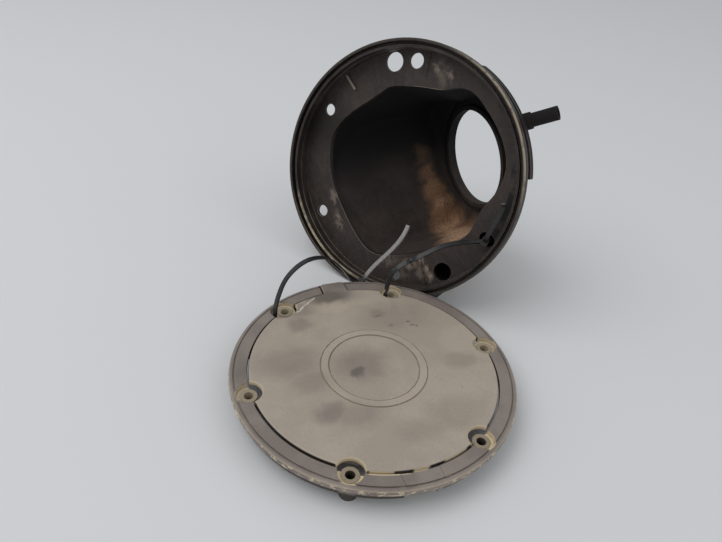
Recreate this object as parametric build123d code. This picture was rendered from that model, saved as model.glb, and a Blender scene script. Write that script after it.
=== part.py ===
import os
from math import cos, degrees, radians, sin

from build123d import *

# Lid ring: stands face up on the feet of its bosses, +Z out of its outer face
LID_R = 75.0                    # widest radius of the rounded bead
RING_TOP = 15.5                 # outer face above the boss feet
PLATE_T = 3.0                   # thickness of the ring's plate
RING_W = 9.0                    # width of the ring's plate
BEAD_W = 2.5                    # from the bead's groove to the lid's edge
BEAD_H = 4.0                    # height of the bead
BEAD_ROUND = 1.6                # rounding of the bead's outer edge
BEAD_STEP = 0.2                 # the bead lies this much below the plate's face
BEAD_TAPER = 0.5                # how far the bead leans in at its lower edge
GROOVE_W = 0.8                  # width and depth of the groove
SKIRT_T = 2.0                   # locating skirt behind the ring
SKIRT_FOOT = 7.0                # height of the skirt's lower edge
GAP_R = LID_R - RING_W          # inner radius of the ring's plate
SKIRT_R = LID_R - BEAD_W        # the skirt stands under the groove
TAB_DEEP = 0.4                  # floor of the tab's recess below the flap

# Bolt bosses, shared pattern with the housing's flange
BOLTS = 6
BOLT_IN = 8.6                   # from the bolt circle out to the lid's edge
BOLT_R = LID_R - BOLT_IN
BOLT_HOLE_R = 2.4
BOSS_WALL = 2.0
BOSS_R = BOLT_HOLE_R + BOSS_WALL
BOSS_TOP = 13.3
POCKET_R = BOSS_R + 1.9         # round pocket that leaves the boss standing free
SCALLOP_R = POCKET_R + 0.6      # matching scallop in the flap's edge
BOSS_RIB_W = 3.0
BOSS_RIB_RISE = 0.5             # boss ribs end this much below the skirt
LONG_AT = 120.0
LONG_POCKET = 2.6               # how far the pocket of one boss runs on sideways

# Flap
FLAP_GAP = 1.0
FLAP_R = GAP_R - FLAP_GAP
FLAP_STAND = 1.0                # the flap's face stands this much above the ring
FLAP_TOP = RING_TOP + FLAP_STAND
FLAP_T = 2.5
FLAP_ROUND = 0.9
FLAP_LOW = FLAP_TOP - FLAP_T
EMBOSS_OUT = 27.8
EMBOSS_IN = 24.2
EMBOSS_H = 0.45
EMBOSS_GROOVE_W = 0.7
EMBOSS_GROOVE_D = 0.4
STIFF_R = FLAP_R - 7.0          # stiffening wall under the flap
STIFF_T = 1.6
STIFF_FOOT = 9.6
RIBS = 6
RIB_T = 1.4
RIB_LIFT = 1.0                  # ribs and inner wall end above the outer wall's foot
WELD = 0.5                      # how far joined shapes run into each other
TAB_W = 15.0                    # lift tab opposite the hinge
TAB_R = LID_R - 1.4
TAB_ROUND = 2.5
TAB_CLEAR = 0.5

# Hinge
HINGE_X = -2.8                  # middle of the hinge tongue, to one side of the lid's axis
PIN_IN = 5.25
PIN_Y = PIN_IN - LID_R
PIN_Z = RING_TOP - 2.5
PIN_R = 1.25
PIN_FIT = 0.05                  # radial running clearance of the flap on its pin
PIN_SEAT = 0.02                 # radial clearance of the pin in the ring's lugs
PIN_CHAMFER = 0.25
KNUCKLE_R = PIN_R + 1.1
TONGUE_W = 8.6
SPRING_ROOM = 5.2               # width of the slot on each side of the tongue
SLOT_CLEAR = 0.5
LUG_T = 3.0
LUG_IN = 3.4
LUG_DROP = 3.6
WIRE_R = 0.4
COIL_FIT = 0.3                  # between the coil and the pin
COIL_R = PIN_R + WIRE_R + COIL_FIT
COIL_PITCH = 0.95
COIL_TURNS = 4
COIL_SIDE = 0.7                 # from the tongue to the coil
COIL_LEGS = (5.0, 4.0)

# Catch and rubber stops
CATCH_W = 8.0
LEAF_T = 0.6
LEAF_BEND = 0.7
PAD_SIDE = 1.0                  # the pad reaches past the leaf on each side
RIVET_R = 1.0
RIVET_HEAD_R = 2.0
RIVET_HEAD_T = 0.8
RIVET_LENGTH = 7.0
RIVET_UP = 2.6                  # height of the rivet above the pad's lower edge
RIVET_FIT = 0.1
STRIKER_Y = GAP_R - 7.4
STRIKER_T = 2.2
STRIKER_W = 6.4
STRIKER_FOOT = 5.0
BARB = 1.6
STOP_R = FLAP_R - 2.6
STOP_HEAD_R = 2.3
STOP_STEM_R = 1.3
STOP_BULB_R = 1.8
STOP_ANGLES = (30, 150)
SHELF_TOP = 10.5
SHELF_T = 2.2
SHELF_W = 8.0
SEAT = 0.3                      # clearance of seated pieces
LEDGES = ((-113, -104), (-80, -67))
LEDGE_W = 1.9
LEDGE_T = 1.2

# Housing: measured in its own axes, +Z out of the mouth, +Y up in the car
MOUTH_AT = (46.3, 98.3, 73.8)
MOUTH_AZIMUTH = -141.6
MOUTH_TILT = 18.9
MOUTH_ROLL = 121.4
SKIRT_FIT = 0.1                 # the lid's skirt locates in the well
WELL_R = SKIRT_R + SKIRT_FIT
SHOULDER_R = WELL_R + 0.2
SHOULDER_D = 6.2
RIM_OVER = 3.0                  # the rim stands this much outside the lid's edge
RIM_R = LID_R + RIM_OVER
LIP_T = 1.6
RIDGE_R = RIM_R - 3.6
RIDGE_T = 1.4
RIDGE_D = 1.0
RIM_GROOVE = 4.1
FLANGE_D = 12.4                 # depth of the flange below the mouth
FLANGE_IN = 45.0                # the flange's plate reaches in at least to here
WALL = 2.5
SCREW_HOLES = (39.4, 99.4, 159.4)
FLANGE_HOLE_R = 3.75
SLOT_AT = 219.4
SLOT_LENGTH = 10.0
SLOT_W = 7.0
WIDE_HOLE_AT = 339.4
WIDE_HOLE_R = 4.6
PORTS_AT = (-8, 188.3)          # two large holes for a cable or hose
PORT_R = 5.8
PORT_RING = BOLT_R + 0.3

# Opening in the flange, as angle and radius
OPENING = (
    (2, 52.2), (14, 50.8), (28, 52.4), (42, 55.4), (51, 56.6), (66, 55.2), (84, 53.0),
    (100, 51.6), (117, 53.0), (130, 56.0), (141, 57.9), (151, 56.2), (162, 53.4), (177, 51.8),
    (194, 52.4), (206, 55.0), (219, 55.2), (231, 54.2), (244, 59.0), (258, 63.6), (276, 63.6),
    (292, 62.9), (304, 62.8), (311, 60.0), (318, 54.8), (330, 52.1), (346, 51.9),
)
BOWL_DEPTH = 96.0
BOWL_NARROW = 0.78              # how much the bowl narrows over its depth
BOWL_SHIFT = -4.0
BOWL_ROUND = 5.5                # inner rounding where the bowl's walls meet
NECK_AT = (0.0, -31.0, -56.8)
NECK_TILT = 40.6
NECK_R = 31.0
NECK_LIP = 2.7
NECK_STEP_R = 38.0
NECK_STEP = 2.2
BACK_LOW = (0.0, -83.0)
BACK_HIGH = (53.7, -14.5)
FLANGE_RIBS = ((19.5, 61.5, 1.3), (177.0, 53.5, 1.5), (333.0, 57.0, 0.6))
FLANGE_RIB_W = 1.4
SUMP_FROM = 255.0
SUMP_TO = 306.0
SUMP_R = 74.9                   # the sump bulges out under the bolt circle
SUMP_SIDE = ((0.0, -20.6), (-2.1, -31.0))
SUMP_TAIL = ((69.0, -44.0), (45.0, -60.0))
DRAIN_X = 10.7
DRAIN_DEPTH = 24.0
DRAIN_FROM = 73.5
DRAIN_ROOT = 79.5
DRAIN_TIP = 95.0                # how far the spigot reaches from the mouth's axis
DRAIN_R = 4.1
DRAIN_ROOT_R = 5.0
DRAIN_BORE = 2.8

# Cable ties
STRAP_W = 2.6
STRAP_T = 1.1
STRAP_TURN = 40.0               # turn of the right-hand strap where it leaves its head
TIE_HEAD = (5.0, 4.4, 3.8)


def polar(radius, angle, height):
    return Vector(radius * cos(radians(angle)), radius * sin(radians(angle)), height)


def tube(r_out, r_in, low, high):
    ring = Cylinder(r_out, high - low, align=(Align.CENTER, Align.CENTER, Align.MIN))
    bore = Cylinder(r_in, high - low + 2, align=(Align.CENTER, Align.CENTER, Align.MIN))
    return Pos(0, 0, low) * (ring - Pos(0, 0, -1) * bore)


def post(radius, low, high):
    return Pos(0, 0, low) * Cylinder(radius, high - low, align=(Align.CENTER, Align.CENTER, Align.MIN))


def block(x0, x1, y0, y1, z0, z1):
    return Pos(x0, y0, z0) * Box(x1 - x0, y1 - y0, z1 - z0, align=(Align.MIN, Align.MIN, Align.MIN))


def turned(points):
    face = make_face(Plane.XZ * Polyline(*points, close=True))
    return revolve(face, Axis.Z, 360)


def sector(r0, r1, z0, z1, start, stop):
    face = make_face(Plane.XZ * Polyline((r0, z0), (r1, z0), (r1, z1), (r0, z1), close=True))
    return Rot(0, 0, start) * revolve(face, Axis.Z, stop - start)


def bolt_places():
    return [(60 * k, Pos(*polar(BOLT_R, 60 * k, 0))) for k in range(BOLTS)]


def pockets(radius, low, high):
    cuts = [place * post(radius, low, high) for angle, place in bolt_places()]
    # the pocket where the left-hand tie passes is longer than the others
    long_place = Pos(*(polar(BOLT_R, LONG_AT, 0) + polar(LONG_POCKET, LONG_AT + 90, 0)))
    return cuts + [long_place * post(radius, low, high)]


def bead_section():
    out = RING_TOP - BEAD_STEP
    mid = BEAD_ROUND * sin(radians(45))
    centre = (LID_R - BEAD_ROUND, out - BEAD_ROUND)
    with BuildSketch(Plane.XZ) as section:
        with BuildLine():
            Polyline(
                (GAP_R, RING_TOP - PLATE_T), (GAP_R, RING_TOP),
                (SKIRT_R - GROOVE_W / 2, RING_TOP), (SKIRT_R - GROOVE_W / 2, RING_TOP - GROOVE_W),
                (SKIRT_R + GROOVE_W / 2, RING_TOP - GROOVE_W), (SKIRT_R + GROOVE_W / 2, out),
                (centre[0], out),
            )
            ThreePointArc(
                (centre[0], out), (centre[0] + mid, centre[1] + mid), (LID_R, centre[1]),
            )
            Polyline(
                (LID_R, centre[1]), (LID_R - BEAD_TAPER, RING_TOP - BEAD_H), (SKIRT_R, RING_TOP - BEAD_H),
                (SKIRT_R, SKIRT_FOOT), (SKIRT_R - SKIRT_T, SKIRT_FOOT),
                (SKIRT_R - SKIRT_T, RING_TOP - PLATE_T), (GAP_R, RING_TOP - PLATE_T),
            )
        make_face()
    return section.sketch


def hinge_span():
    slot_low = HINGE_X - TONGUE_W / 2 - SPRING_ROOM
    slot_high = HINGE_X + TONGUE_W / 2 + SPRING_ROOM
    return slot_low, slot_high


def build_ring():
    ring = revolve(bead_section(), Axis.Z, 360)
    slot_low, slot_high = hinge_span()
    lug_back = PIN_Y - KNUCKLE_R
    for low in (slot_low - LUG_T, slot_high):
        ring += block(low, low + LUG_T, lug_back, PIN_Y + LUG_IN, PIN_Z - LUG_DROP, RING_TOP - WELD)
    # slot for the tongue and the spring, through plate and skirt
    ring -= block(slot_low, slot_high, lug_back - SLOT_CLEAR, -GAP_R + 2, SKIRT_FOOT - 1, RING_TOP + 1)
    ring -= pockets(POCKET_R, FLAP_LOW - 1.9, RING_TOP + 1)
    bosses = []
    for angle, place in bolt_places():
        boss = post(BOSS_R, 0, BOSS_TOP)
        rib = Rot(0, 0, angle) * block(BOSS_R - 1.5, SKIRT_R - BOLT_R - 0.3, -BOSS_RIB_W / 2,
                                       BOSS_RIB_W / 2, SKIRT_FOOT - BOSS_RIB_RISE, RING_TOP - PLATE_T)
        bosses.append(place * boss)
        bosses.append(place * rib)
    ring += bosses
    ring -= [place * post(BOLT_HOLE_R, -1, RING_TOP) for angle, place in bolt_places()]
    # recess for the lift tab
    half = TAB_W / 2 + TAB_CLEAR
    ring -= block(-half, half, GAP_R - 3, TAB_R + TAB_CLEAR, FLAP_LOW - TAB_DEEP, RING_TOP + 1)
    # pad that carries the catch spring, hung from the plate
    half = CATCH_W / 2 + PAD_SIDE
    pad = block(-half, half, GAP_R + 1, SKIRT_R - WELD, SKIRT_FOOT, RING_TOP - PLATE_T)
    ring += pad
    # ledges in the gap on both sides of the hinge
    ledge_top = FLAP_LOW - 0.5
    for start, stop in LEDGES:
        ring += sector(GAP_R + 0.3 - LEDGE_W, GAP_R + 0.3, ledge_top - LEDGE_T, ledge_top, start, stop)
    for angle in STOP_ANGLES:
        turn = Rot(0, 0, angle)
        half = SHELF_W / 2
        shelf = block(STOP_R - 3.0, GAP_R + 2, -half, half, SHELF_TOP - SHELF_T, SHELF_TOP)
        web = block(GAP_R + 0.2, GAP_R + 2, -half, half, SHELF_TOP - 1, RING_TOP - PLATE_T + 1)
        ring += turn * (shelf + web)
        stem_hole = post(STOP_STEM_R + RIVET_FIT, SHELF_TOP - SHELF_T - 1, SHELF_TOP + 1)
        ring -= turn * Pos(STOP_R, 0, 0) * stem_hole
    bore = 2 * (LUG_T + PIN_SEAT) + slot_high - slot_low
    ring -= Pos(HINGE_X, PIN_Y, PIN_Z) * Rot(0, 90, 0) * Cylinder(PIN_R + PIN_SEAT, bore)
    rivet = Pos(0, GAP_R + 4, SKIRT_FOOT + RIVET_UP) * Rot(90, 0, 0) * Cylinder(RIVET_R + RIVET_FIT, 8.4)
    ring -= rivet
    return ring


def build_flap():
    plate = post(FLAP_R, FLAP_LOW, FLAP_TOP)
    plate -= pockets(SCALLOP_R, FLAP_LOW - 1, FLAP_TOP + 1)
    tab = block(-TAB_W / 2, TAB_W / 2, FLAP_R - 8, TAB_R, FLAP_LOW, FLAP_TOP)
    tab = fillet(tab.edges().filter_by(Axis.Z).sort_by(Axis.Y)[-2:], TAB_ROUND)
    flap = plate + tab
    rim = flap.faces().sort_by(Axis.Z)[-1].outer_wire().edges()
    flap = fillet(rim, FLAP_ROUND)
    # embossed ring with a fine groove on each side
    flap += tube(EMBOSS_OUT, EMBOSS_IN, FLAP_TOP - 0.3, FLAP_TOP + EMBOSS_H)
    groove = FLAP_TOP - EMBOSS_GROOVE_D
    flap -= tube(EMBOSS_OUT + EMBOSS_GROOVE_W, EMBOSS_OUT, groove, FLAP_TOP + 1)
    flap -= tube(EMBOSS_IN, EMBOSS_IN - EMBOSS_GROOVE_W, groove, FLAP_TOP + 1)
    flap += tube(STIFF_R, STIFF_R - STIFF_T, STIFF_FOOT, FLAP_LOW + WELD)
    flap += tube(EMBOSS_OUT, EMBOSS_OUT - STIFF_T, STIFF_FOOT + RIB_LIFT, FLAP_LOW + WELD)
    for k in range(RIBS):
        rib = block(EMBOSS_OUT - 1, STIFF_R - WELD, -RIB_T / 2, RIB_T / 2,
                    STIFF_FOOT + RIB_LIFT, FLAP_LOW + WELD)
        flap += Rot(0, 0, (k + 0.5) * 360 / RIBS) * rib
    # tongue and knuckle on the hinge pin
    half = TONGUE_W / 2
    tongue = block(HINGE_X - half, HINGE_X + half, PIN_Y, -FLAP_R + 6, FLAP_LOW - 2.2, FLAP_LOW + 0.6)
    knuckle = Pos(HINGE_X, PIN_Y, PIN_Z) * Rot(0, 90, 0) * Cylinder(KNUCKLE_R, TONGUE_W)
    flap += tongue + knuckle
    flap -= Pos(HINGE_X, PIN_Y, PIN_Z) * Rot(0, 90, 0) * Cylinder(PIN_R + PIN_FIT, TONGUE_W + 4)
    # striker with its barb
    reach = STRIKER_Y + STRIKER_T
    half = STRIKER_W / 2
    striker = block(-half, half, STRIKER_Y, reach, STRIKER_FOOT, FLAP_LOW + WELD)
    barb = Plane.YZ * Polyline((reach - 0.3, STRIKER_FOOT), (reach + BARB, STRIKER_FOOT + 2.2),
                               (reach - 0.3, STRIKER_FOOT + 3.2), close=True)
    striker += Pos(-half, 0, 0) * extrude(make_face(barb), STRIKER_W, dir=(1, 0, 0))
    return flap + striker


def build_pin():
    slot_low, slot_high = hinge_span()
    length = slot_high - slot_low + 2 * LUG_T - 2 * PIN_SEAT
    pin = chamfer(Cylinder(PIN_R, length).edges(), PIN_CHAMFER)
    return Pos(HINGE_X, PIN_Y, PIN_Z) * Rot(0, 90, 0) * pin


def build_spring():
    length = COIL_PITCH * COIL_TURNS
    coil = Helix(COIL_PITCH, length, COIL_R)
    spring = sweep(Plane(origin=coil @ 0, z_dir=coil % 0) * Circle(WIRE_R), coil, is_frenet=True)
    for end, reach, way in ((0, COIL_LEGS[0], -1), (1, COIL_LEGS[1], 1)):
        leg = Plane(origin=coil @ end, z_dir=(coil % end) * way)
        spring += leg.location * post(WIRE_R, 0, reach)
        spring += Pos(*(coil @ end)) * Sphere(WIRE_R)
    start_x = HINGE_X + TONGUE_W / 2 + COIL_SIDE
    return Pos(start_x, PIN_Y, PIN_Z) * Rot(0, 90, 0) * spring


def build_catch_spring():
    # leaf riveted to the pad, folded under so that its nose holds the striker's barb
    face_y = GAP_R + 1 - SEAT / 3
    nose = STRIKER_Y + STRIKER_T + 0.4
    line = FilletPolyline(
        (face_y, RING_TOP - PLATE_T - 0.8), (face_y, SKIRT_FOOT - 2.0), (nose + 2.6, SKIRT_FOOT - 3.6),
        (nose + 2.2, STRIKER_FOOT + 3.0), (nose, STRIKER_FOOT + 4.6), (nose + 2.0, STRIKER_FOOT + 6.6),
        radius=LEAF_BEND,
    )
    leaf = make_face(Plane.YZ * offset(line, LEAF_T, side=Side.LEFT, closed=True))
    leaf = Pos(-CATCH_W / 2, 0, 0) * extrude(leaf, CATCH_W, dir=(1, 0, 0))
    return leaf - Pos(0, face_y, SKIRT_FOOT + RIVET_UP) * Rot(90, 0, 0) * Cylinder(RIVET_R + RIVET_FIT, 6)


def build_rivet():
    face_y = GAP_R + 1 - SEAT / 3
    height = SKIRT_FOOT + RIVET_UP
    shank = Pos(0, face_y + 2.2, height) * Rot(90, 0, 0) * Cylinder(RIVET_R, RIVET_LENGTH)
    head_at = Pos(0, face_y - LEAF_T - 0.5, height)
    head = head_at * Rot(90, 0, 0) * Cylinder(RIVET_HEAD_R, RIVET_HEAD_T)
    return shank + head


def build_stop(angle):
    head = post(STOP_HEAD_R, SHELF_TOP, FLAP_LOW - SEAT)
    head = chamfer(head.faces().sort_by(Axis.Z)[-1].edges(), 0.6)
    stem = post(STOP_STEM_R, SHELF_TOP - SHELF_T - 1.4, SHELF_TOP)
    bulb = Pos(0, 0, SHELF_TOP - SHELF_T - 1.4) * Cone(1.0, STOP_BULB_R, 1.2)
    return Rot(0, 0, angle) * Pos(STOP_R, 0, 0) * (head + stem + bulb)


def mouth_plane():
    azimuth = radians(MOUTH_AZIMUTH)
    tilt = radians(MOUTH_TILT)
    out = Vector(cos(tilt) * cos(azimuth), cos(tilt) * sin(azimuth), sin(tilt))
    level = Vector(-sin(azimuth), cos(azimuth), 0)
    rise = out.cross(level)
    roll = radians(MOUTH_ROLL)
    return Plane(origin=MOUTH_AT, x_dir=level * cos(roll) + rise * sin(roll), z_dir=out)


def opening_wire(grow, scale, shift, depth):
    points = []
    for angle, radius in OPENING:
        spot = polar((radius + grow) * scale, angle, -depth)
        points.append((spot.X, spot.Y + shift, spot.Z))
    return Spline(*points, periodic=True)


def neck_plane(grow):
    tilt = radians(NECK_TILT)
    down = Vector(0, -sin(tilt), -cos(tilt))
    return Plane(origin=Vector(*NECK_AT) + down * grow, x_dir=(1, 0, 0), z_dir=down)


def back_plane(grow):
    run = Vector(0, BACK_HIGH[0] - BACK_LOW[0], BACK_HIGH[1] - BACK_LOW[1]).normalized()
    away = Vector(0, run.Z, -run.Y)
    return Plane(origin=Vector(0, *BACK_LOW) + away * grow, x_dir=(1, 0, 0), z_dir=away)


def below(plane):
    return plane.location * Box(300, 300, 100, align=(Align.CENTER, Align.CENTER, Align.MIN))


def is_seam(edge):
    return abs((edge @ 0).X - (edge @ 1).X) < 8 and abs((edge @ 0.5).X) > 30


def bowl_form(grow, start):
    top = make_face(opening_wire(grow, 1.0, 0.0, start))
    share = (BOWL_DEPTH - start) / (BOWL_DEPTH - FLANGE_D)
    narrow = 1.0 - (1.0 - BOWL_NARROW) * share
    bottom = make_face(opening_wire(grow, narrow, BOWL_SHIFT * share, BOWL_DEPTH))
    form = loft([top, bottom], ruled=True)
    form -= below(neck_plane(grow))
    form -= below(back_plane(grow))
    creases = [e for e in form.edges() if (e @ 0.5).Z < -FLANGE_D - 4 and e.length > 20]
    form = fillet([e for e in creases if not is_seam(e)], BOWL_ROUND + grow)
    roof = -FLANGE_D - WALL + grow * 0.4
    side = [(SUMP_R + step + grow, height) for step, height in SUMP_SIDE]
    outline = [(FLANGE_IN, roof), (SUMP_R + grow, roof), *side, *SUMP_TAIL]
    sump = make_face(Plane.XZ * Polyline(*outline, close=True))
    spread = degrees(grow / RIM_R)
    form += Rot(0, 0, SUMP_FROM - spread) * revolve(sump, Axis.Z, SUMP_TO - SUMP_FROM + 2 * spread)
    neck = neck_plane(grow)
    form -= below(neck)
    step = Plane(origin=neck.origin - neck.z_dir * 4, x_dir=(1, 0, 0), z_dir=neck.z_dir)
    return form + step.location * post(NECK_STEP_R + grow, 0, 4 + NECK_STEP)


def build_housing():
    rim = turned([
        (RIM_R, 0), (RIM_R - LIP_T, 0), (RIM_R - LIP_T, -RIM_GROOVE), (RIDGE_R, -RIM_GROOVE),
        (RIDGE_R, -RIDGE_D), (RIDGE_R - RIDGE_T, -RIDGE_D), (RIDGE_R - RIDGE_T, -SHOULDER_D),
        (SHOULDER_R, -SHOULDER_D), (WELL_R, -SHOULDER_D - 0.6), (WELL_R, -FLANGE_D), (FLANGE_IN, -FLANGE_D),
        (FLANGE_IN, -FLANGE_D - WALL), (WELL_R + WALL, -FLANGE_D - WALL),
        (WELL_R + WALL + 1.2, -SHOULDER_D - 3.0), (RIM_R, -SHOULDER_D),
    ])
    mouth = make_face(opening_wire(0, 1.0, 0.0, FLANGE_D + WALL + 1))
    flange = rim + post(FLANGE_IN + 3, -FLANGE_D - WALL, -FLANGE_D) - extrude(mouth, WALL + 2)
    shell = flange + (bowl_form(WALL, FLANGE_D) - bowl_form(0, FLANGE_D - 1))
    drain = Pos(DRAIN_X, 0, -DRAIN_DEPTH) * Rot(90, 0, 0)
    shell += drain * post(DRAIN_ROOT_R, DRAIN_FROM, DRAIN_ROOT)
    shell += drain * post(DRAIN_R, DRAIN_FROM, DRAIN_TIP)
    neck = neck_plane(0).location
    shell += neck * tube(NECK_R + NECK_LIP, NECK_R, -1.0, NECK_STEP + 1)
    cuts = [drain * post(DRAIN_BORE, 60, DRAIN_TIP + 15), neck * Cylinder(NECK_R, 30)]
    for angle in SCREW_HOLES:
        cuts.append(Pos(*polar(BOLT_R, angle, -FLANGE_D)) * Cylinder(FLANGE_HOLE_R, 8))
    slot = Plane(origin=polar(BOLT_R, SLOT_AT, -FLANGE_D - 4)) * Rot(0, 0, SLOT_AT)
    slot *= SlotOverall(SLOT_LENGTH, SLOT_W)
    cuts.append(extrude(slot, 8))
    cuts.append(Pos(*polar(BOLT_R, WIDE_HOLE_AT, -FLANGE_D)) * Cylinder(WIDE_HOLE_R, 8))
    for angle in PORTS_AT:
        cuts.append(Pos(*polar(PORT_RING, angle, -FLANGE_D)) * Cylinder(PORT_R, 8))
    shell -= cuts
    for angle, inner, height in FLANGE_RIBS:
        half = FLANGE_RIB_W / 2
        rib = block(inner, WELL_R + WELD, -half, half, -FLANGE_D - WELD, -FLANGE_D + height)
        shell += Rot(0, 0, angle) * rib
    return mouth_plane().location * shell


def bowl_point(radius, angle, depth):
    return mouth_plane().from_local_coords(polar(radius, angle, -depth))


def strap(points, thick_dir):
    path = Spline(*points)
    start = Plane(origin=path @ 0, x_dir=thick_dir, z_dir=path % 0)
    return sweep(start * Rectangle(STRAP_T, STRAP_W), path)


def tie_head(place, along, side):
    frame = Plane(origin=place, x_dir=side, z_dir=along)
    return frame.location * Box(*TIE_HEAD)


def build_tie_left():
    head_at = Vector(23.0, 80.2, 7.6)
    loop = [
        head_at + Vector(-2.2, -0.9, 1.6), Vector(14.2, 76.4, 13.7), Vector(9.2, 74.3, 21.7),
        Vector(2.7, 71.6, 30.7), Vector(-4.6, 68.6, 38.6), Vector(-11.4, 65.8, 42.4),
        Vector(-19.6, 62.4, 44.0), Vector(-27.3, 59.2, 42.0), Vector(-33.4, 56.7, 36.9),
        Vector(-36.9, 55.3, 29.9), Vector(-39.3, 54.3, 20.8), Vector(-39.6, 54.2, 12.0),
        Vector(-40.2, 55.2, 5.6), Vector(-40.6, 59.6, 3.0), Vector(-35.2, 64.4, 2.8),
        Vector(-20, 70.6, 2.8), Vector(0, 76.4, 2.8), Vector(14, 79.0, 3.4), head_at,
    ]
    tail = [head_at, Vector(26.6, 81.6, 12.2), bowl_point(53.3, -203, -3), bowl_point(32.6, -180.2, -0.5)]
    side = Vector(0.75, 0.3, -0.6)
    body = strap(loop, Vector(0.6, 0.25, 0.75)) + strap(tail, side)
    return body + tie_head(head_at, tail[1] - tail[0], side)


def build_tie_right():
    out = mouth_plane().z_dir
    head_at = bowl_point(67.2, -140.6, 8.0)
    loop = [
        head_at, bowl_point(60.7, -145.8, 5.3), Vector(68.4, 53.5, 48.4), Vector(59, 54, 46.9),
        Vector(50.1, 54.5, 43), Vector(41.2, 55, 39), Vector(35.4, 55.2, 36.1), Vector(31, 55.2, 31.5),
        Vector(28.6, 54.9, 22.8), Vector(28.1, 54.7, 12.9), Vector(26.9, 56.0, 6.0), Vector(26.2, 60.4, 3.2),
        Vector(30.4, 64.4, 3.0), Vector(38.5, 62.9, 2.8), Vector(51, 56.5, 2.8), bowl_point(82, 178.6, 14),
        bowl_point(76, 186.6, 21), bowl_point(69, 202.6, 24), bowl_point(69.0, 216.4, 21),
        bowl_point(69.7, 219.2, 16), head_at,
    ]
    tail = [
        head_at, bowl_point(67.2, -139.6, 4.6), bowl_point(66.8, -131, 3.6), bowl_point(67.2, -118.8, 4.0),
    ]
    side = tail[3] - tail[0]
    thick = out * cos(radians(STRAP_TURN)) + side.normalized() * sin(radians(STRAP_TURN))
    return strap(loop, thick) + strap(tail, side) + tie_head(head_at, out, side)


os.makedirs("parts", exist_ok=True)
pieces = {
    "housing": build_housing(),
    "lid_ring": build_ring(),
    "flap": build_flap(),
    "hinge_pin": build_pin(),
    "hinge_spring": build_spring(),
    "catch_spring": build_catch_spring(),
    "catch_rivet": build_rivet(),
    "stop_left": build_stop(STOP_ANGLES[1]),
    "stop_right": build_stop(STOP_ANGLES[0]),
    "tie_left": build_tie_left(),
    "tie_right": build_tie_right(),
}
for name, piece in pieces.items():
    export_step(piece, "parts/" + name + ".step")
    print(name, round(piece.volume), len(piece.solids()))
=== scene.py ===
from math import degrees, radians

import bmesh
import bpy
from mathutils import Euler, Matrix, Vector


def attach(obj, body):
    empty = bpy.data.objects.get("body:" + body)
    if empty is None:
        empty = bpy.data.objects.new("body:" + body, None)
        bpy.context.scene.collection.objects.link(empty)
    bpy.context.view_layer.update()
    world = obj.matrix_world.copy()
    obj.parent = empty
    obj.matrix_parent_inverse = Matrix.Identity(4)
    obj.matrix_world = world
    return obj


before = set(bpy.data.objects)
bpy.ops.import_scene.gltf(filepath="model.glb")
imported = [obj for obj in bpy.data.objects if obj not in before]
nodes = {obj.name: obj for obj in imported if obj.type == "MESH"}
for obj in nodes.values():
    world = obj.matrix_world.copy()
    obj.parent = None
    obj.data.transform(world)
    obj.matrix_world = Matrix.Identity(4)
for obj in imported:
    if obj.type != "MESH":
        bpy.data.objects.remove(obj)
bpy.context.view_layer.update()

print("frame loaded:", len(nodes), "pieces")

mm = 0.001
bevelSamples = 4  # rays of the bevel nodes that find the edges


# node helpers that every finish uses
def newFinish(name):
    finish = bpy.data.materials.new(name)
    finish.use_nodes = True
    tree = finish.node_tree
    return finish, tree, tree.nodes["Principled BSDF"]


def feed(tree, socket, value):
    # a socket is linked, anything else is typed in
    if isinstance(value, bpy.types.NodeSocket):
        tree.links.new(value, socket)
    else:
        socket.default_value = value


def calc(tree, operation, *values):
    node = tree.nodes.new("ShaderNodeMath")
    node.operation = operation
    for socket, value in zip(node.inputs, values):
        feed(tree, socket, value)
    return node.outputs[0]


def vector(tree, operation, *values):
    node = tree.nodes.new("ShaderNodeVectorMath")
    node.operation = operation
    for socket, value in zip(node.inputs, values):
        feed(tree, socket, value)
    return node.outputs["Value" if operation in ("LENGTH", "DOT_PRODUCT") else "Vector"]


def fade(tree, value, low, high):
    # 0 below low, 1 above high, smooth between; the other way round when low is the larger
    node = tree.nodes.new("ShaderNodeMapRange")
    node.interpolation_type = "SMOOTHSTEP"
    feed(tree, node.inputs["Value"], value)
    bottom, top = (0.0, 1.0) if low < high else (1.0, 0.0)
    node.inputs["From Min"].default_value = min(low, high)
    node.inputs["From Max"].default_value = max(low, high)
    node.inputs["To Min"].default_value = bottom
    node.inputs["To Max"].default_value = top
    return node.outputs["Result"]


def grain(tree, place, scale, detail=4.0, rough=0.55, stretch=None):
    if stretch:
        place = vector(tree, "MULTIPLY", place, stretch)
    node = tree.nodes.new("ShaderNodeTexNoise")
    feed(tree, node.inputs["Vector"], place)
    node.inputs["Scale"].default_value = scale
    node.inputs["Detail"].default_value = detail
    node.inputs["Roughness"].default_value = rough
    return node.outputs["Fac"]


def tint(tree, amount, under, over):
    node = tree.nodes.new("ShaderNodeMix")
    node.data_type = "RGBA"
    feed(tree, node.inputs["Factor"], amount)
    feed(tree, node.inputs["A"], under)
    feed(tree, node.inputs["B"], over)
    return node.outputs["Result"]


def times(tree, *values):
    result = values[0]
    for value in values[1:]:
        result = calc(tree, "MULTIPLY", result, value)
    return result


def coat(tree, under, over, *masks):
    # lays a colour over what lies beneath, where all the masks are 1
    return tint(tree, times(tree, *masks), under, over)


def sheen(tree, value, span):
    # roughness that wanders between two values
    node = tree.nodes.new("ShaderNodeMapRange")
    tree.links.new(value, node.inputs["Value"])
    node.inputs["To Min"].default_value, node.inputs["To Max"].default_value = span
    return node.outputs["Result"]


def most(tree, values):
    result = values[0]
    for value in values[1:]:
        result = calc(tree, "MAXIMUM", result, value)
    return result


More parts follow.
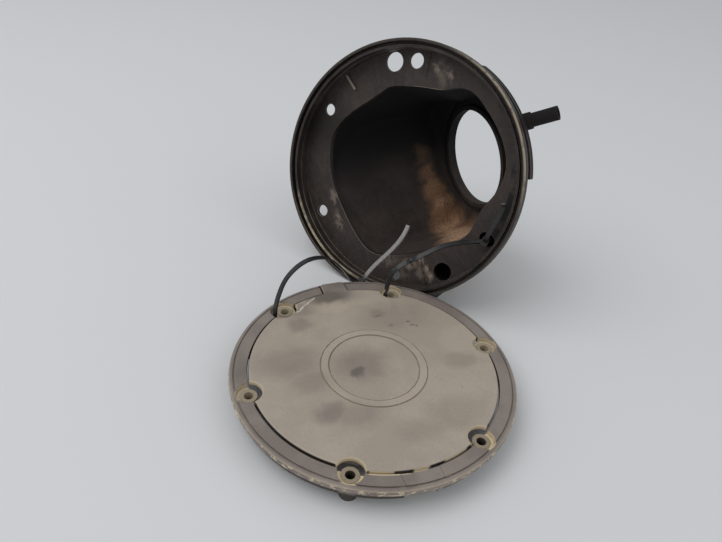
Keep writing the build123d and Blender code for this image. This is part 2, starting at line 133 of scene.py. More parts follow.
def millimetres(tree, centre=(0, 0, 0), turn=(0, 0, 0)):
    # object coordinates in millimetres, seen from the piece's own axes
    place = tree.nodes.new("ShaderNodeTexCoord").outputs["Object"]
    node = tree.nodes.new("ShaderNodeMapping")
    node.vector_type = "TEXTURE"
    tree.links.new(place, node.inputs["Vector"])
    node.inputs["Location"].default_value = [value * mm for value in centre]
    node.inputs["Rotation"].default_value = [radians(value) for value in turn]
    node.inputs["Scale"].default_value = (mm, mm, mm)
    return node.outputs["Vector"]


def polar(tree, place):
    # radius, angle in degrees and height about the piece's own Z axis
    parts = tree.nodes.new("ShaderNodeSeparateXYZ")
    tree.links.new(place, parts.inputs[0])
    x, y, z = parts.outputs
    square = calc(tree, "ADD", calc(tree, "MULTIPLY", x, x), calc(tree, "MULTIPLY", y, y))
    angle = calc(tree, "MULTIPLY", calc(tree, "ARCTAN2", y, x), degrees(1.0))
    return calc(tree, "SQRT", square), angle, z, x, y


def ragged(tree, place, scale, reach):
    # pushes a place about, so that a spot's edge comes out uneven
    node = tree.nodes.new("ShaderNodeTexNoise")
    feed(tree, node.inputs["Vector"], place)
    node.inputs["Scale"].default_value = scale
    node.inputs["Detail"].default_value = 5.0
    shift = vector(tree, "SUBTRACT", node.outputs["Color"], (0.5, 0.5, 0.5))
    return vector(tree, "ADD", place, vector(tree, "MULTIPLY", shift, (reach, reach, reach)))


def spots(tree, place, marks):
    # each mark: centre, half sizes, strength
    found = []
    for centre, sizes, strength in marks:
        away = vector(tree, "DIVIDE", vector(tree, "SUBTRACT", place, centre), sizes)
        found.append(times(tree, fade(tree, vector(tree, "LENGTH", away), 1.0, 0.25), strength))
    return most(tree, found)


def within(tree, value, low, high, soft):
    # 1 between low and high
    rising = fade(tree, value, low - soft, low + soft)
    falling = fade(tree, value, high + soft, high - soft)
    return times(tree, rising, falling)


def edges(tree, width, low, high):
    # 1 on the sharp edges
    rounded = tree.nodes.new("ShaderNodeBevel")
    rounded.samples = bevelSamples
    rounded.inputs["Radius"].default_value = width * mm
    flat = tree.nodes.new("ShaderNodeNewGeometry").outputs["Normal"]
    turn = vector(tree, "DOT_PRODUCT", rounded.outputs[0], flat)
    return fade(tree, turn, high, low)


def relief(tree, shader, height, distance, strength=1.0, width=0.25):
    rounded = tree.nodes.new("ShaderNodeBevel")
    rounded.samples = bevelSamples
    rounded.inputs["Radius"].default_value = width * mm
    node = tree.nodes.new("ShaderNodeBump")
    node.inputs["Strength"].default_value = strength
    node.inputs["Distance"].default_value = distance * mm
    tree.links.new(height, node.inputs["Height"])
    tree.links.new(rounded.outputs[0], node.inputs["Normal"])
    tree.links.new(node.outputs[0], shader.inputs["Normal"])


def wear(piece, finish):
    nodes[piece].data.materials.clear()
    nodes[piece].data.materials.append(finish)


# lid: painted disc and ring
lidLook = {
    "discPaint": (0.375, 0.318, 0.262, 1),
    "discDusty": (0.430, 0.366, 0.298, 1),
    "discDark": (0.120, 0.104, 0.090, 1),
    "discRidge": (0.50, 0.43, 0.35, 1),
    "discPatch": (0.52, 0.44, 0.335, 1),
    "ringPaint": (0.205, 0.172, 0.152, 1),
    "ringDusty": (0.265, 0.226, 0.196, 1),
    "primer": (0.680, 0.570, 0.390, 1),
    "primerPink": (0.620, 0.470, 0.400, 1),
    "scratch": (0.62, 0.56, 0.46, 1),
    # dark dirt, also used for the painted shade under the ring's bead and inside the gap
    "grimeAndPaintedShade": (0.045, 0.036, 0.028, 1),
    # painted shade for the flap's edge inside the gap
    "gapPaintedShade": (0.008, 0.007, 0.006, 1),
    "bossDirty": (0.20, 0.165, 0.125, 1),
    "bossDusty": (0.34, 0.285, 0.205, 1),
    "holePaintedShade": (0.03, 0.024, 0.02, 1),
    "holeDusty": (0.42, 0.35, 0.25, 1),
    "discGloss": (0.46, 0.60),
    "ringGloss": (0.42, 0.58),
    "specular": 0.42,
    "bolts": 6,
    "boltCircle": 66.4,
    # embossed ridge and the groove on each side of it, as radii
    "emboss": (24.3, 27.7),
    "embossGrooves": ((23.6, 24.1), (27.9, 28.4)),
    # angles at which the cream wall of the gap shows
    "creamWall": ((-113, -103), (-95, -88), (-81, -69)),
}
# centre, half sizes and strength of each mark
smudges = (
    ((-9.7, -1.7, 16.5), (7.5, 6.5, 9), 0.85),
    ((-6.0, 3.0, 16.5), (21, 17, 9), 0.42),
    ((-28.8, 40.9, 16.5), (11, 10, 9), 0.42),
    ((-30.6, -24.3, 16.5), (13, 10, 9), 0.50),
    ((-19.9, -28.6, 16.5), (18, 13, 9), 0.34),
    ((17.2, 39.0, 16.5), (12, 8, 9), 0.46),
    ((22.0, 34.0, 16.5), (32, 19, 9), 0.30),
    ((-44.0, 14.0, 16.5), (25, 18, 9), 0.36),
    ((-34.0, -2.0, 16.5), (17, 12, 9), 0.30),
    ((46.6, -7.7, 16.5), (13, 9, 9), 0.28),
    ((-6.0, 61.0, 16.5), (20, 10, 9), 0.80),
    ((4.0, 72.0, 16.5), (14, 6, 9), 0.60),
    ((-25.0, 53.0, 16.5), (12, 9, 9), 0.34),
    ((28.0, -40.0, 16.5), (24, 15, 9), 0.24),
    ((8.0, -46.0, 16.5), (20, 11, 9), 0.22),
)
inkMarks = (
    ((20.9, 28.1, 16.5), (2.4, 1.1, 3), 0.7),
    ((16.8, 37.6, 16.5), (3.0, 1.3, 3), 0.55),
    ((31.6, 28.6, 16.5), (1.6, 1.1, 3), 0.9),
    ((32.8, 25.2, 16.5), (2.2, 1.0, 3), 0.8),
    ((35.2, 24.0, 16.5), (1.2, 1.3, 3), 0.8),
    ((38.7, -25.5, 16.5), (0.9, 0.7, 3), 0.5),
)


def lidMasks(tree, place):
    # polar coordinates and the distance to the nearest bolt
    radius, angle, height, x, y = polar(tree, place)
    flatPlace = vector(tree, "MULTIPLY", place, (1, 1, 0))
    for step in range(lidLook["bolts"]):
        centre = Vector((lidLook["boltCircle"], 0, 0))
        centre.rotate(Euler((0, 0, radians(step * 360 / lidLook["bolts"]))))
        away = vector(tree, "LENGTH", vector(tree, "SUBTRACT", flatPlace, tuple(centre)))
        nearest = calc(tree, "MINIMUM", nearest, away) if step else away
    return radius, angle, height, x, y, nearest


def paintFlap():
    finish, tree, shader = newFinish("flapPaint")
    place = millimetres(tree)
    radius, angle, height, x, y, nearest = lidMasks(tree, place)
    uneven = ragged(tree, place, 0.16, 7.0)
    broad = fade(tree, grain(tree, place, 0.035, 3.0), 0.38, 0.66)
    fine = grain(tree, place, 0.9, 6.0, 0.65)
    dark = lidLook["discDark"]
    colour = tint(tree, broad, lidLook["discPaint"], lidLook["discDusty"])
    colour = coat(tree, colour, dark, fade(tree, fine, 0.46, 0.70), 0.16)
    # smudges and specks on the face only
    top = fade(tree, height, 15.9, 16.3)
    colour = coat(tree, colour, dark, spots(tree, uneven, smudges), top)
    colour = coat(tree, colour, dark, spots(tree, ragged(tree, place, 0.7, 1.6), inkMarks), top, 0.8)
    # embossed ridge a little paler, its grooves darker
    colour = coat(tree, colour, lidLook["discRidge"], within(tree, radius, *lidLook["emboss"], 0.3), 0.22)
    grooves = most(tree, [within(tree, radius, *groove, 0.15) for groove in lidLook["embossGrooves"]])
    colour = coat(tree, colour, dark, grooves, top, 0.30)
    # paler patch under the tab, and the tab's end in the ring's tone
    patch = spots(tree, uneven, (((-4, 51, 16.5), (15, 7, 9), 0.45), ((9, 52, 16.5), (13, 5, 9), 0.30)))
    colour = coat(tree, colour, lidLook["discPatch"], patch, top)
    colour = coat(tree, colour, lidLook["ringPaint"], fade(tree, y, 64.0, 68.0), 0.75)
    # paint worn off the edge, in patches and more on the hinge side
    worn = edges(tree, 0.5, 0.90, 0.985)
    patchy = fade(tree, grain(tree, place, 0.28, 5.0, 0.7), 0.50, 0.62)
    hingeSide = times(tree, fade(tree, y, 10.0, -30.0), 0.75)
    colour = coat(tree, colour, lidLook["primer"], worn, calc(tree, "MAXIMUM", patchy, hingeSide), 0.8)
    # cream dust on the scallop walls
    wall = times(tree, fade(tree, height, 16.45, 16.0), fade(tree, nearest, 8.4, 7.6))
    colour = coat(tree, colour, lidLook["primer"], wall, 0.92)
    # painted shade, near black, on the rest of the edge inside the gap, with a few cream stretches
    rest = times(tree, fade(tree, radius, 64.5, 64.9), fade(tree, height, 16.3, 15.9),
                 fade(tree, nearest, 7.2, 7.6))
    creamEdge = most(tree, [within(tree, angle, low, high, 0.8) for low, high in lidLook["creamWall"]])
    colour = coat(tree, colour, lidLook["gapPaintedShade"], rest, 0.95)
    colour = coat(tree, colour, lidLook["primer"], rest, creamEdge, 0.95)
    # jagged scratch beside the tab
    line = vector(tree, "SUBTRACT", ragged(tree, place, 0.35, 3.2), (-20.8, 56.8, 16.5))
    across = calc(tree, "ABSOLUTE", vector(tree, "DOT_PRODUCT", line, (-0.605, 0.796, 0)))
    along = calc(tree, "ABSOLUTE", vector(tree, "DOT_PRODUCT", line, (0.796, 0.605, 0)))
    colour = coat(tree, colour, lidLook["scratch"],
                  fade(tree, across, 0.55, 0.2), fade(tree, along, 9.0, 7.5), top)
    tree.links.new(colour, shader.inputs["Base Color"])
    tree.links.new(sheen(tree, grain(tree, place, 0.06, 4.0), lidLook["discGloss"]),
                   shader.inputs["Roughness"])
    shader.inputs["Specular IOR Level"].default_value = lidLook["specular"]
    relief(tree, shader, fine, 0.05, 0.5)
    wear("flap", finish)


def paintRing():
    finish, tree, shader = newFinish("ringPaint")
    place = millimetres(tree)
    radius, angle, height, x, y, nearest = lidMasks(tree, place)
    uneven = ragged(tree, place, 0.2, 5.0)
    fine = grain(tree, place, 1.1, 6.0, 0.65)
    broad = fade(tree, grain(tree, place, 0.05, 4.0), 0.36, 0.66)
    # the dirt colour gives both the dark mottle and the painted shade below
    primer, dirt = lidLook["primer"], lidLook["grimeAndPaintedShade"]
    colour = tint(tree, broad, lidLook["ringPaint"], lidLook["ringDusty"])
    colour = coat(tree, colour, dirt, fade(tree, fine, 0.48, 0.72), 0.2)
    dull = spots(tree, uneven, (((-68, 22, 15.5), (12, 26, 8), 0.35), ((38, 62, 15.5), (26, 9, 8), 0.4)))
    colour = coat(tree, colour, lidLook["discDark"], dull)
    # chips along the bead, more towards the hinge and the -X side
    chips = fade(tree, grain(tree, place, 0.24, 8.0, 0.70, (1, 1, 1.6)), 0.535, 0.575)
    towards = calc(tree, "ADD", calc(tree, "MULTIPLY", x, -0.35), calc(tree, "MULTIPLY", y, -0.94))
    side = fade(tree, towards, -22.0, 22.0)
    beadEdge = times(tree, fade(tree, radius, 73.4, 74.3), within(tree, height, 11.6, 14.7, 0.3))
    colour = coat(tree, colour, primer, beadEdge, chips, side, 0.9)
    pink = fade(tree, grain(tree, place, 0.36, 8.0, 0.7), 0.57, 0.61)
    colour = coat(tree, colour, lidLook["primerPink"], beadEdge, pink, side, 0.8)
    rub = times(tree, within(tree, radius, 73.7, 74.7, 0.3), within(tree, height, 13.6, 15.0, 0.3), side)
    colour = coat(tree, colour, primer, rub, 0.35)
    # painted shade in the dirt colour under the bead and on the ring's wall inside the gap
    under = calc(tree, "MAXIMUM",
                 times(tree, fade(tree, height, 12.2, 11.0), fade(tree, nearest, 6.6, 7.4)),
                 fade(tree, height, 8.5, 7.0))
    colour = coat(tree, colour, dirt, under, 0.92)
    colour = coat(tree, colour, dirt, fade(tree, radius, 66.4, 65.9), fade(tree, height, 15.2, 14.6), 0.8)
    # dust in the pockets round the bosses, most of it at the hinge side
    pocket = times(tree, fade(tree, nearest, 7.0, 6.5), fade(tree, height, 15.48, 15.2),
                   fade(tree, height, 9.0, 11.5))
    dusty = fade(tree, grain(tree, place, 0.5, 5.0), 0.22, 0.46)
    much = calc(tree, "ADD", 0.70, times(tree, fade(tree, y, -35.0, -50.0), 0.28))
    colour = coat(tree, colour, primer, pocket, dusty, much)
    # boss ends and their holes, dusty away from the hinge; beside it the ends are dark and the holes get
    # painted shade
    boss = times(tree, fade(tree, nearest, 4.6, 4.3), fade(tree, height, 12.6, 13.1))
    dustyBolts = fade(tree, y, -35.0, 0.0)
    colour = coat(tree, colour, lidLook["bossDirty"], boss, 0.8)
    colour = coat(tree, colour, lidLook["bossDusty"], boss, dustyBolts, 0.8)
    hole = times(tree, fade(tree, nearest, 2.6, 2.35), fade(tree, height, 13.2, 12.6))
    colour = coat(tree, colour, lidLook["holePaintedShade"], hole, fade(tree, y, 0.0, -35.0))
    colour = coat(tree, colour, lidLook["holeDusty"], hole, dustyBolts, 0.8)
    # cream band where the gap opens by the bolt at 240 degrees
    band = times(tree, within(tree, radius, 64.0, 66.5, 0.25), within(tree, angle, -113, -97, 1.0),
                 fade(tree, height, 10.0, 11.0))
    colour = coat(tree, colour, primer, band, 0.96)
    tree.links.new(colour, shader.inputs["Base Color"])
    tree.links.new(sheen(tree, grain(tree, place, 0.08, 4.0), lidLook["ringGloss"]),
                   shader.inputs["Roughness"])
    shader.inputs["Specular IOR Level"].default_value = lidLook["specular"]
    relief(tree, shader, fine, 0.05, 0.5)
    wear("lid_ring", finish)


paintFlap()
paintRing()
print("lid painted")

# housing: black moulded plastic, dusty, dirt run down from the neck
housingLook = {
    "mouthAt": (46.3, 98.3, 73.8),
    "mouthTurn": (-56.6895, -53.8555, 100.4468),
    "plastic": (0.0165, 0.0132, 0.0122, 1),
    "plasticWorn": (0.031, 0.0240, 0.0215, 1),
    "dust": (0.135, 0.097, 0.080, 1),
    "dirt": (0.290, 0.155, 0.080, 1),
    "dirtPale": (0.600, 0.390, 0.250, 1),
    "rub": (0.340, 0.270, 0.215, 1),
    "cream": (0.560, 0.470, 0.330, 1),
    "upperWallShade": (0.0025, 0.0024, 0.0024, 1),
    "stepShadowColour": (0.004, 0.004, 0.004, 1),
    "flangeShadeColour": (0.007, 0.006, 0.006, 1),
    "gloss": (0.40, 0.66),
    "insideMatt": 0.88,
    "specular": 0.32,
}
# centre, half sizes and strength, on the mouth's own axes
dirtRun = (
    ((12, 10, -70), (10, 6, 12), 0.22),
    ((-2, 9, -72), (11, 7, 14), 0.42),
    ((-14, 8, -73), (14, 10, 16), 0.75),
    ((-28, 6, -75), (15, 13, 18), 1.0),
    ((-40, 2, -72), (18, 18, 22), 1.0),
    ((-46, -6, -60), (17, 21, 22), 1.0),
    ((-47, -16, -46), (16, 20, 20), 1.0),
    ((-47, -22, -32), (15, 17, 17), 1.0),
    ((-46, -12, -30), (12, 14, 14), 0.8),
)
dirtPaleRun = (
    ((-42, 2, -72), (13, 12, 18), 0.75),
    ((-48, -8, -56), (14, 15, 18), 0.95),
    ((-50, -14, -42), (15, 16, 17), 1.0),
    ((-49, -21, -32), (15, 18, 16), 1.0),
    ((-24, 5, -75), (8, 6, 12), 0.5),
)
flangeRubsAndRibHighlight = (
    ((54, -35, -12.4), (5, 3.4, 3), 0.85),
    ((48, -42, -12.4), (4.5, 3, 3), 0.8),
    ((50, -38, -12.4), (11, 8, 3), 0.35),
    ((-4, 54, -12.4), (8, 3.5, 3), 0.6),
    ((-20, 55, -12.4), (9, 4, 3), 0.65),
    ((-58, 12, -12.4), (6, 9, 3), 0.75),
    ((-53, 27, -12.4), (5, 12, 3), 0.45),
    ((-64, 4, -12.4), (8, 6, 3), 0.6),
    # painted highlight along the top of the rib near 178 degrees
    ((-57, 2.6, -12), (5, 3.0, 4), 1.3),
    ((-62, 1.2, -12), (5, 3.0, 4), 1.3),
    ((-68, -1.0, -12), (5, 3.4, 4), 1.2),
    ((-62, 16, -12.4), (7, 12, 3), 0.4),
)


def paintHousing():
    finish, tree, shader = newFinish("housingPlastic")
    place = millimetres(tree, housingLook["mouthAt"], housingLook["mouthTurn"])
    radius, angle, height, x, y = polar(tree, place)
    fine = grain(tree, place, 0.8, 7.0, 0.68)
    streaks = grain(tree, place, 0.22, 6.0, 0.7, (0.7, 1.1, 0.8))
    broad = fade(tree, grain(tree, place, 0.045, 4.0), 0.38, 0.66)
    rub, cream, dust = housingLook["rub"], housingLook["cream"], housingLook["dust"]
    colour = tint(tree, broad, housingLook["plastic"], housingLook["plasticWorn"])
    # dust on the flange
    flange = times(tree, within(tree, height, -13.0, -4.0, 0.6), fade(tree, radius, 48.0, 50.0))
    mixed = calc(tree, "ADD", times(tree, fine, 0.5), times(tree, streaks, 0.5))
    dusty = fade(tree, mixed, 0.40, 0.66)
    colour = coat(tree, colour, dust, flange, calc(tree, "ADD", 0.07, times(tree, dusty, 0.28)))
    # inside, painted shade makes the upper wall black, and the lower one is dusty
    inside = fade(tree, height, -14.5, -16.0)
    colour = coat(tree, colour, housingLook["upperWallShade"], inside, fade(tree, x, 0.0, 24.0), 0.9)
    lowWall = times(tree, inside, fade(tree, x, 12.0, -34.0))
    colour = coat(tree, colour, dust, lowWall, calc(tree, "ADD", 0.12, times(tree, dusty, 0.20)))
    # brown dirt down from the neck, with a paler crust on it
    uneven = ragged(tree, place, 0.11, 12.0)
    crust = fade(tree, fine, 0.34, 0.60)
    run = times(tree, spots(tree, uneven, dirtRun), inside)
    thick = calc(tree, "ADD", 0.55, times(tree, crust, 0.42))
    colour = coat(tree, colour, housingLook["dirt"], run, thick)
    colour = coat(tree, colour, housingLook["dirtPale"], spots(tree, uneven, dirtPaleRun), inside, crust, 0.9)
    # rubbed places on the flange, with painted highlight along the rib near 178 degrees, and painted
    # highlight on the top of the rib near 20 degrees
    rubbed = spots(tree, ragged(tree, place, 0.35, 5.0), flangeRubsAndRibHighlight)
    colour = coat(tree, colour, rub, rubbed, fade(tree, streaks, 0.36, 0.58), 0.7)
    ribHighlight = times(tree, fade(tree, height, -11.9, -11.4), within(tree, angle, 16, 23, 1),
                   within(tree, radius, 60, 72, 1))
    colour = coat(tree, colour, rub, ribHighlight, 0.6)
    # edges rubbed pale
    sharp = edges(tree, 0.55, 0.86, 0.985)
    patchy = fade(tree, grain(tree, place, 0.22, 6.0, 0.72), 0.42, 0.60)
    mouthSide = fade(tree, height, -20.0, -14.0)
    colour = coat(tree, colour, rub, sharp, mouthSide, calc(tree, "ADD", 0.06, times(tree, patchy, 0.30)))
    # cream on the ledge by the slot, and painted highlight in cream on the rim's left edges, on the lip's lit
    # side and on the ridge's top
    ledge = spots(tree, place, (((46, -22, -13), (7, 9, 5), 1.0), ((42, -31, -13), (7, 8, 5), 1.0)))
    # painted highlight on the sharp edges at the rim's left side
    leftEdgeHighlight = times(tree, mouthSide, within(tree, angle, 88, 160, 6.0), 0.5)
    colour = coat(tree, colour, cream, sharp, calc(tree, "MAXIMUM", ledge, leftEdgeHighlight))
    lip = times(tree, fade(tree, radius, 76.5, 77.4), fade(tree, height, -1.2, -0.3))
    # painted highlight on the lip's lit side, over a faint cream all round the lip
    lipHighlight = times(tree, within(tree, angle, -112, -48, 14.0), fade(tree, streaks, 0.34, 0.50))
    colour = coat(tree, colour, cream, lip, calc(tree, "ADD", 0.05, times(tree, lipHighlight, 0.55)))
    # painted highlight on the ridge's top
    ridgeHighlight = times(tree, within(tree, radius, 72.6, 74.6, 0.3), fade(tree, height, -2.2, -1.0),
                     within(tree, angle, 88, 172, 8.0))
    colour = coat(tree, colour, cream, ridgeHighlight, calc(tree, "ADD", 0.25, times(tree, patchy, 0.5)))
    # painted shadow along the step, and painted shade on one side of the flange
    paintedStepShadow = times(tree, within(tree, angle, -138, -101, 4.0), within(tree, radius, 66.8, 70.2, 0.6),
                  fade(tree, grain(tree, place, 0.10, 5.0, 0.6), 0.36, 0.50))
    colour = coat(tree, colour, housingLook["stepShadowColour"], paintedStepShadow, 0.9)
    colour = coat(tree, colour, housingLook["flangeShadeColour"], within(tree, angle, 36, 62, 10.0), flange, 0.65)
    tree.links.new(colour, shader.inputs["Base Color"])
    matt = calc(tree, "MAXIMUM", sheen(tree, streaks, housingLook["gloss"]),
                times(tree, inside, housingLook["insideMatt"]))
    tree.links.new(matt, shader.inputs["Roughness"])
    shader.inputs["Specular IOR Level"].default_value = housingLook["specular"]
    bumps = calc(tree, "ADD", times(tree, fine, 0.6), times(tree, run, crust, 0.9))
    relief(tree, shader, bumps, 0.25, 0.6)
    wear("housing", finish)


paintHousing()
print("housing painted")

# ties, springs and stops
smallLook = {
    "nylon": (0.011, 0.011, 0.012, 1),
    "nylonScuffed": (0.024, 0.023, 0.023, 1),
    "tailSheen": (0.360, 0.340, 0.325, 1),
    "steel": (0.330, 0.300, 0.270, 1),
    "steelRust": (0.150, 0.070, 0.035, 1),
    "rubber": (0.018, 0.017, 0.016, 1),
    "rubberDust": (0.070, 0.060, 0.052, 1),
    "cupShade": (0.0015, 0.0015, 0.0015, 1),
    "cupShadeMottle": (0.006, 0.005, 0.005, 1),
    "nylonRough": 0.34,
    "steelRough": 0.42,
    "steelMetal": 0.85,
    "rubberRough": 0.7,
    "cupRough": 0.9,
    # the left tie's loose tail gets a painted grey sheen between these X
    "tailFrom": (24.0, 27.0),
}


def paintTie(piece, withTailSheen):
    finish, tree, shader = newFinish(piece + "Nylon")
    place = millimetres(tree)
    parts = tree.nodes.new("ShaderNodeSeparateXYZ")
    tree.links.new(place, parts.inputs[0])
    scuff = fade(tree, grain(tree, place, 0.9, 5.0, 0.65), 0.46, 0.68)
    colour = tint(tree, scuff, smallLook["nylon"], smallLook["nylonScuffed"])
    if withTailSheen:
        # painted sheen on the left tie's loose tail
        patchy = calc(tree, "ADD", 0.75, times(tree, scuff, 0.25))
        tail = fade(tree, parts.outputs["X"], *smallLook["tailFrom"])
        colour = coat(tree, colour, smallLook["tailSheen"], tail, patchy)
    tree.links.new(colour, shader.inputs["Base Color"])
    shader.inputs["Roughness"].default_value = smallLook["nylonRough"]
    relief(tree, shader, grain(tree, place, 1.6, 3.0), 0.08, 0.5, 0.15)
    wear(piece, finish)


def paintSmall(name, base, mark, metal, rough, pieces):
    finish, tree, shader = newFinish(name)
    place = millimetres(tree)
    worn = fade(tree, grain(tree, place, 0.7, 6.0, 0.65), 0.44, 0.64)
    tree.links.new(tint(tree, worn, base, mark), shader.inputs["Base Color"])
    shader.inputs["Metallic"].default_value = metal
    shader.inputs["Roughness"].default_value = rough
    relief(tree, shader, grain(tree, place, 2.0, 4.0), 0.03, 0.5, 0.1)
    for piece in pieces:
        wear(piece, finish)


def paintCups():
    # the blind backs of two holes, painted near black as shade
    finish, tree, shader = newFinish("cupPaintedShade")
    dusty = fade(tree, grain(tree, millimetres(tree), 0.6, 5.0), 0.45, 0.70)
    tree.links.new(tint(tree, dusty, smallLook["cupShade"], smallLook["cupShadeMottle"]),
                   shader.inputs["Base Color"])
    shader.inputs["Roughness"].default_value = smallLook["cupRough"]
    shader.inputs["Specular IOR Level"].default_value = 0.1


paintCups()
paintTie("tie_left", True)
paintTie("tie_right", False)
paintSmall("springSteel", smallLook["steel"], smallLook["steelRust"], smallLook["steelMetal"],
           smallLook["steelRough"], ("hinge_pin", "hinge_spring", "catch_spring", "catch_rivet"))
paintSmall("stopRubber", smallLook["rubber"], smallLook["rubberDust"], 0.0,
           smallLook["rubberRough"], ("stop_left", "stop_right"))
print("ties and small parts painted")

# pieces that only the visual model has
coverLook = {
    # radius and height along the ring's face, over the groove and the bead
    "section": ((66.15, 15.5), (72.1, 15.5), (72.1, 14.7), (72.9, 14.7),
                (72.9, 15.3), (73.4, 15.3), (74.2, 15.08)),
    "sides": (-12.15, 6.55),
    "outer": -72.5,
    "skin": 0.14,
    "startAngle": -104,
    "sweep": 24,
    "steps": 24,
}
cupLook = {
    "depth": 9.0,
    "wall": 0.8,
    "flangeBack": -14.9,
    "segments": 40,
    # angle and radius on the flange, half width, half length
    "places": {"lowerPort": (188.3, 66.7, 5.95, 5.95), "tieSlot": (219.4, 66.4, 3.65, 5.15)},
}
pocketLook = {
    "inner": 4.3,
    "radius": 6.2,
    "top": 12.9,
    "thick": 0.8,
    "segments": 48,
    # bolt angle and how far the floor reaches towards the flap from the bolt's middle
    "floors": ((0, 6.2), (60, 6.2), (120, 6.2), (180, 1.5), (240, 1.0), (300, 1.0)),
}
mouthFrame = Matrix.Translation(Vector(housingLook["mouthAt"]) * mm) @ Euler(
    [radians(value) for value in housingLook["mouthTurn"]]).to_matrix().to_4x4()


def everything(mesh):
    return mesh.verts[:] + mesh.edges[:] + mesh.faces[:]


def pieceFromMesh(name, mesh, body, finish):
    data = bpy.data.meshes.new(name)
    mesh.to_mesh(data)
    mesh.free()
    piece = bpy.data.objects.new(name, data)
    bpy.context.scene.collection.objects.link(piece)
    data.materials.append(finish)
    for face in data.polygons:
        face.use_smooth = False
    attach(piece, body)
    return piece


def buildHingeCover():
    # thin skin over the hinge's slot that carries the ring's face across it and swings with the flap
    mesh = bmesh.new()
    section = [mesh.verts.new((radius * mm, 0, height * mm)) for radius, height in coverLook["section"]]
    for first, second in zip(section, section[1:]):
        mesh.edges.new((first, second))
    start = Matrix.Rotation(radians(coverLook["startAngle"]), 4, "Z")
    bmesh.ops.transform(mesh, matrix=start, verts=mesh.verts[:])
    bmesh.ops.spin(mesh, geom=mesh.verts[:] + mesh.edges[:], cent=(0, 0, 0), axis=(0, 0, 1),
                   angle=radians(coverLook["sweep"]), steps=coverLook["steps"], use_duplicate=False)
    low, high = coverLook["sides"]
    cuts = (((low, 0, 0), (-1, 0, 0)), ((high, 0, 0), (1, 0, 0)), ((0, coverLook["outer"], 0), (0, -1, 0)))
    for spot, away in cuts:
        bmesh.ops.bisect_plane(mesh, geom=everything(mesh), plane_co=Vector(spot) * mm,
                               plane_no=away, clear_outer=True)
    bmesh.ops.remove_doubles(mesh, verts=mesh.verts[:], dist=0.001 * mm)
    bmesh.ops.recalc_face_normals(mesh, faces=mesh.faces[:])
    if sum(face.normal.z for face in mesh.faces) < 0:
        bmesh.ops.reverse_faces(mesh, faces=mesh.faces[:])
    bmesh.ops.solidify(mesh, geom=mesh.faces[:], thickness=coverLook["skin"] * mm)
    pieceFromMesh("hingeCover", mesh, "flap", nodes["lid_ring"].data.materials[0])


def buildCup(name, angle, radius, halfWidth, halfLength):
    # blind back of a hole in the flange
    mesh = bmesh.new()
    rim = bmesh.ops.create_circle(mesh, segments=cupLook["segments"], radius=halfWidth * mm)["verts"]
    longer = (halfLength - halfWidth) * mm
    for vert in rim:
        vert.co.x += longer if vert.co.x > 0 else -longer
    deep = bmesh.ops.extrude_edge_only(mesh, edges=mesh.edges[:])["geom"]
    low = [part for part in deep if isinstance(part, bmesh.types.BMVert)]
    bmesh.ops.translate(mesh, verts=low, vec=(0, 0, -cupLook["depth"] * mm))
    loop = [edge for edge in mesh.edges if all(vert in low for vert in edge.verts)]
    bmesh.ops.edgeloop_fill(mesh, edges=loop)
    bmesh.ops.recalc_face_normals(mesh, faces=mesh.faces[:])
    bmesh.ops.solidify(mesh, geom=mesh.faces[:], thickness=cupLook["wall"] * mm)
    turn = Matrix.Rotation(radians(angle), 4, "Z")
    place = Matrix.Translation((radius * mm, 0, cupLook["flangeBack"] * mm))
    bmesh.ops.transform(mesh, matrix=turn @ place, verts=mesh.verts[:])
    bmesh.ops.transform(mesh, matrix=mouthFrame, verts=mesh.verts[:])
    pieceFromMesh(name, mesh, "base", bpy.data.materials["cupPaintedShade"])


def buildPocketFloor(angle, reach):
    # web between a boss and its pocket, left open towards the flap at the lower bolts
    mesh = bmesh.new()
    for radius in (pocketLook["inner"], pocketLook["radius"]):
        bmesh.ops.create_circle(mesh, segments=pocketLook["segments"], radius=radius * mm)
    bmesh.ops.bridge_loops(mesh, edges=mesh.edges[:])
    bmesh.ops.recalc_face_normals(mesh, faces=mesh.faces[:])
    bmesh.ops.bisect_plane(mesh, geom=everything(mesh), plane_co=(-reach * mm, 0, 0),
                           plane_no=(-1, 0, 0), clear_outer=True)
    bmesh.ops.solidify(mesh, geom=mesh.faces[:], thickness=pocketLook["thick"] * mm)
    turn = Matrix.Rotation(radians(angle), 4, "Z")
    place = Matrix.Translation((lidLook["boltCircle"] * mm, 0, pocketLook["top"] * mm))
    bmesh.ops.transform(mesh, matrix=turn @ place, verts=mesh.verts[:])
    pieceFromMesh("pocketFloor%d" % angle, mesh, "base", nodes["lid_ring"].data.materials[0])


buildHingeCover()
for name, sizes in cupLook["places"].items():
    buildCup(name + "Cup", *sizes)
for angle, reach in pocketLook["floors"]:
    buildPocketFloor(angle, reach)
print("hinge cover, cups and pocket floors built")

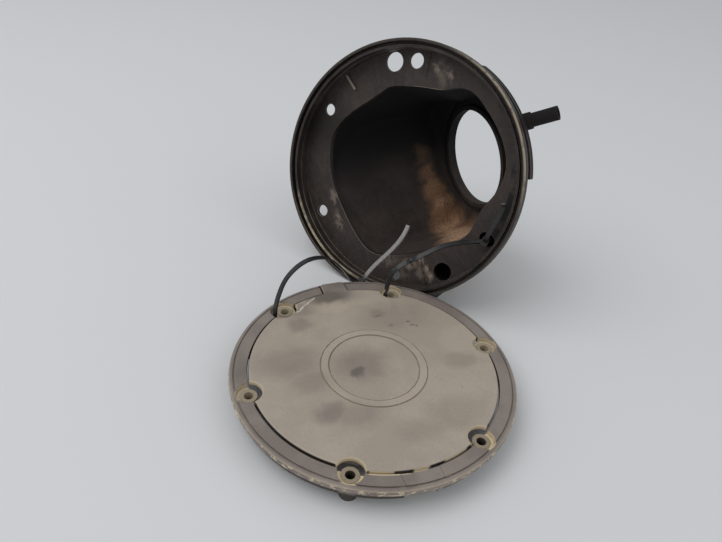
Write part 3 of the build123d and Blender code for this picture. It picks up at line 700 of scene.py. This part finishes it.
# floor, light and camera
studio = {
    "cameraAt": (-0.10802, -0.21643, 0.25365),
    "cameraTurn": (53.6595, -4.9367, -20.0),
    "lens": 640 / 722 * 36,
    "sensor": 36,
    "clipStart": 0.01,
    "floorColour": (0.72, 0.73, 0.74, 1),
    "floorShade": (0.62, 0.64, 0.66, 1),
    "floorRough": 0.8,
    "floorSize": 8.0,
    "skyColour": (0.96, 0.98, 1.0, 1),
    "skyStrength": 0.55,
    "lamps": (
        # place, aim, size, power
        ((-0.75, 0.15, 1.25), (0.0, 0.0, 0.02), 1.1, 7.0),
        ((0.9, -0.7, 0.9), (0.0, 0.0, 0.02), 1.0, 1.6),
    ),
}


def buildStudio():
    bpy.ops.mesh.primitive_plane_add(size=studio["floorSize"], location=(0, 0, 0))
    floor = bpy.context.object
    floor.name = "studioFloor"
    finish, tree, shader = newFinish("paleFloor")
    shade = grain(tree, millimetres(tree), 0.004, 2.0)
    tree.links.new(coat(tree, studio["floorColour"], studio["floorShade"], shade, 0.06),
                   shader.inputs["Base Color"])
    shader.inputs["Roughness"].default_value = studio["floorRough"]
    floor.data.materials.append(finish)
    world = bpy.data.worlds.new("studioSky")
    bpy.context.scene.world = world
    world.use_nodes = True
    sky = world.node_tree.nodes["Background"]
    sky.inputs["Color"].default_value = studio["skyColour"]
    sky.inputs["Strength"].default_value = studio["skyStrength"]
    for number, (place, aim, size, power) in enumerate(studio["lamps"]):
        light = bpy.data.lights.new("softLamp%d" % number, "AREA")
        light.size = size
        light.energy = power
        lamp = bpy.data.objects.new(light.name, light)
        lamp.location = place
        lamp.rotation_euler = (Vector(aim) - Vector(place)).to_track_quat("-Z", "Y").to_euler()
        bpy.context.scene.collection.objects.link(lamp)
    lensData = bpy.data.cameras.new("studioCamera")
    lensData.lens = studio["lens"]
    lensData.sensor_width = studio["sensor"]
    lensData.clip_start = studio["clipStart"]
    eye = bpy.data.objects.new("studioCamera", lensData)
    eye.location = studio["cameraAt"]
    eye.rotation_euler = [radians(value) for value in studio["cameraTurn"]]
    bpy.context.scene.collection.objects.link(eye)
    bpy.context.scene.camera = eye
    bpy.context.scene.view_settings.view_transform = "Standard"


buildStudio()
print("studio ready")
